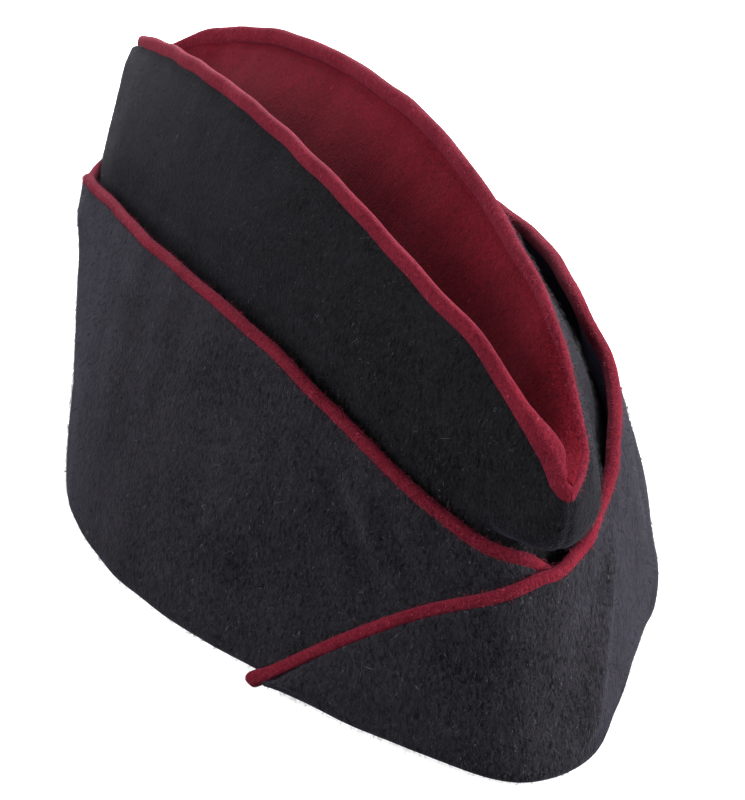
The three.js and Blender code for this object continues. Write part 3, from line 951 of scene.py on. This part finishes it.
def fibre(name, color):
    """Single wool hairs, matt, and some of them darker than others."""
    material, tree, shader = material_of(name)
    shade = noise(tree, place_of(tree), FIBRE_SHADES["scale"], detail=2)
    darker = [FIBRE_SHADES["darkest"] * channel for channel in color]
    shades = ramp(tree, shade, low=0.35, high=0.68, low_color=darker, high_color=color)
    fill(tree, shader, {"Base Color": shades, **FIBRE_LOOK})
    return material


CHARCOAL = felt("charcoal_felt", (0.004, 0.0039, 0.0045), (0.022, 0.021, 0.0255), (0.075, 0.073, 0.082),
                sheen=0.105, sheen_tint=(0.70, 0.60, 1.0))
# The crown walls' felt is a darker copy of the band's charcoal felt, with less sheen: painted shade, for
# walls that lie in shade behind the bands.
CROWN_CHARCOAL_PAINTED_SHADE = felt("crown_charcoal_felt_painted_shade", (0.002, 0.002, 0.0022), (0.0125, 0.0122, 0.014),
                      (0.055, 0.053, 0.06), sheen=0.045, sheen_tint=(0.70, 0.62, 1.0))
BURGUNDY = felt("burgundy_felt", (0.045, 0.0026, 0.005), (0.125, 0.0068, 0.0135), (0.22, 0.025, 0.05),
                sheen=0.05, sheen_tint=(1.0, 0.2, 0.5), grain_scale=1800)
PIPING_FELT = felt("burgundy_piping", (0.055, 0.0045, 0.009), (0.15, 0.012, 0.023), (0.30, 0.06, 0.095),
                   sheen=0.07, sheen_tint=(1.0, 0.33, 0.60), grain_scale=2000, streak=0.8)
FIBRES = {
    "band": fibre("charcoal_fibre", (0.05, 0.049, 0.058)),
    # The crown's fibres are darker than the band's: painted shade, as on the crown walls' felt.
    "crown": fibre("crown_charcoal_fibre_painted_shade", (0.032, 0.031, 0.036)),
    "burgundy": fibre("burgundy_fibre", (0.19, 0.017, 0.031)),
    "piping": fibre("piping_fibre", (0.32, 0.055, 0.09)),
    "pale": fibre("pale_fibre", (0.24, 0.23, 0.21)),
}

# ---- The cap ----

walls = make_walls(CROWN_CHARCOAL_PAINTED_SHADE)
bands = {side: make_band(side, CHARCOAL) for side in SIDES}
gusset, gusset_middle = make_gusset(BURGUNDY)
pipings = {
    "crown": {side: crown_piping(side, PIPING_FELT) for side in SIDES},
    "band": {"right": right_band_piping(PIPING_FELT), "left": left_band_piping(PIPING_FELT)},
}
HAIR_SEEDS = {
    "crown": dict(nap=31, pale=81, edge=51),
    "band": dict(nap=41, pale=91, edge=61),
    "gusset": 71,
}


def dress_panel(kind, side, number, panel, middle, against):
    """Gives a charcoal panel its nap and its pale fibres."""
    seeds = HAIR_SEEDS[kind]
    nap = add_hairs("nap", panel, "charcoal", FIBRES[kind], "charcoal_felt", seeds["nap"] + number)
    pale = add_hairs("pale_fibres", panel, "lint", FIBRES["pale"], "charcoal_felt", seeds["pale"] + number)


for number, side in enumerate(SIDES):
    dress_panel("crown", side, number, *walls[side], against=bands[side][0])
    dress_panel("band", side, number, *bands[side], against=walls[side][0])
    for kind in pipings:
        seed = HAIR_SEEDS[kind]["edge"] + number
        add_hairs("nap", pipings[kind][side], "piping", FIBRES["piping"], "burgundy_piping", seed)
gusset_nap = add_hairs("nap", gusset, "burgundy", FIBRES["burgundy"], "burgundy_felt", HAIR_SEEDS["gusset"],
                       upward=True)

# ---- Floor, light and camera ----

# The floor, and a wall of the same paper that bends up from it all the way round, far from the cap.
PAPER = dict(half=4.0, flat=3.0, bend=1.0, wall=4.0, level=-0.0002, around=96, steps=20)
PAPER_LOOK = {
    "Base Color": (0.9, 0.9, 0.9, 1),
    "Roughness": 0.9,
    "Emission Color": (1, 1, 1, 1),
    "Emission Strength": 0.62,
}


def paper_wall():
    turn = np.linspace(0, math.pi / 2, PAPER["steps"])
    out = np.append(PAPER["flat"] + PAPER["bend"] * np.sin(turn), PAPER["flat"] + PAPER["bend"])
    up = np.append(PAPER["level"] + PAPER["bend"] * (1 - np.cos(turn)), PAPER["wall"])
    n = PAPER["around"]
    angle = np.arange(n) * 2 * math.pi / n
    rings = [np.outer(out, np.cos(angle)), np.outer(out, np.sin(angle)), np.repeat(up[:, None], n, axis=1)]
    return np.stack(rings, axis=-1).reshape(-1, 3).tolist(), ring_faces(len(out), n)


def make_paper():
    material, tree, shader = material_of("white_paper")
    fill(tree, shader, PAPER_LOOK)
    half, level = PAPER["half"], PAPER["level"]
    corners = [(x, y, level) for x, y in ((-half, -half), (half, -half), (half, half), (-half, half))]
    floor = add_object("floor", corners, [(0, 1, 2, 3)], material)
    backdrop = add_object("backdrop", *paper_wall(), material)
    floor.visible_diffuse = False
    backdrop.visible_diffuse = False
    backdrop.visible_glossy = False
    backdrop.visible_shadow = False


SKY = dict(low=(0.10, 0.10, 0.11), high=(1, 1, 1), horizon=0.12, strength=0.06)


def make_sky():
    """A faint sky, white above and dark grey below."""
    world = bpy.data.worlds.new("studio")
    world.use_nodes = True
    tree = world.node_tree
    direction = node(tree, "ShaderNodeTexCoord", {}).outputs["Generated"]
    up = node(tree, "ShaderNodeSeparateXYZ", {"Vector": direction}).outputs["Z"]
    glow = ramp(tree, up, 0.0, SKY["horizon"], SKY["low"], SKY["high"])
    fill(tree, tree.nodes["Background"], {"Color": glow, "Strength": SKY["strength"]})
    bpy.context.scene.world = world


# Square lights round the cap, all aimed at the same point in it.
LIGHTS = [
    dict(name="left_box", place=(-0.3, -1.1, 0.5), power=23),
    dict(name="left_rear_box", place=(-1.0, -0.42, 0.35), power=6),
    dict(name="rear_box", place=(-1.2, 0.3, 0.4), power=33),
    dict(name="right_rear_box", place=(-0.6, 1.0, 0.6), power=15),
    dict(name="right_box", place=(0.8, 0.8, 0.4), power=38),
    dict(name="front_box", place=(0.9, -0.5, 0.5), power=5),
    dict(name="near_rear_box", place=(-0.5, 0.25, 0.45), power=10.5, size=0.3),
    dict(name="near_right_box", place=(0.25, 0.45, 0.35), power=2.8, size=0.3),
]
AIM = Vector((0, 0, 0.05))


def softbox(name, place, power, size=0.8):
    data = bpy.data.lights.new(name, "AREA")
    data.shape = "RECTANGLE"
    data.size = data.size_y = size
    data.energy = power
    light = bpy.data.objects.new(name, data)
    light.location = place
    light.rotation_euler = (AIM - Vector(place)).to_track_quat("-Z", "Y").to_euler()
    light.visible_camera = False
    bpy.context.scene.collection.objects.link(light)


# The photo's camera: round from the front towards the wearer's right, and up from the table.
VIEW = dict(azimuth=24.588, elevation=28.69, roll=2.376, distance=0.49625, target=(-104.83, 0.0, 42.97),
            lens=88.685, sensor=36)


def make_camera():
    data = bpy.data.cameras.new("camera")
    data.sensor_width = VIEW["sensor"]
    data.lens = VIEW["lens"]
    camera = bpy.data.objects.new("camera", data)
    az, el, roll = (math.radians(VIEW[key]) for key in ("azimuth", "elevation", "roll"))
    back = Vector((math.cos(az) * math.cos(el), -math.sin(az) * math.cos(el), math.sin(el)))
    target = Vector(to_frame([VIEW["target"]])[0])
    camera.location = target + back * VIEW["distance"]
    facing = (-back).to_track_quat("-Z", "Y").to_matrix().to_4x4()
    camera.matrix_world = Matrix.Translation(camera.location) @ facing @ Matrix.Rotation(roll, 4, "Z")
    bpy.context.scene.collection.objects.link(camera)
    bpy.context.scene.camera = camera


make_paper()
make_sky()
for light in LIGHTS:
    softbox(**light)
make_camera()
bpy.context.scene.view_settings.view_transform = "Standard"
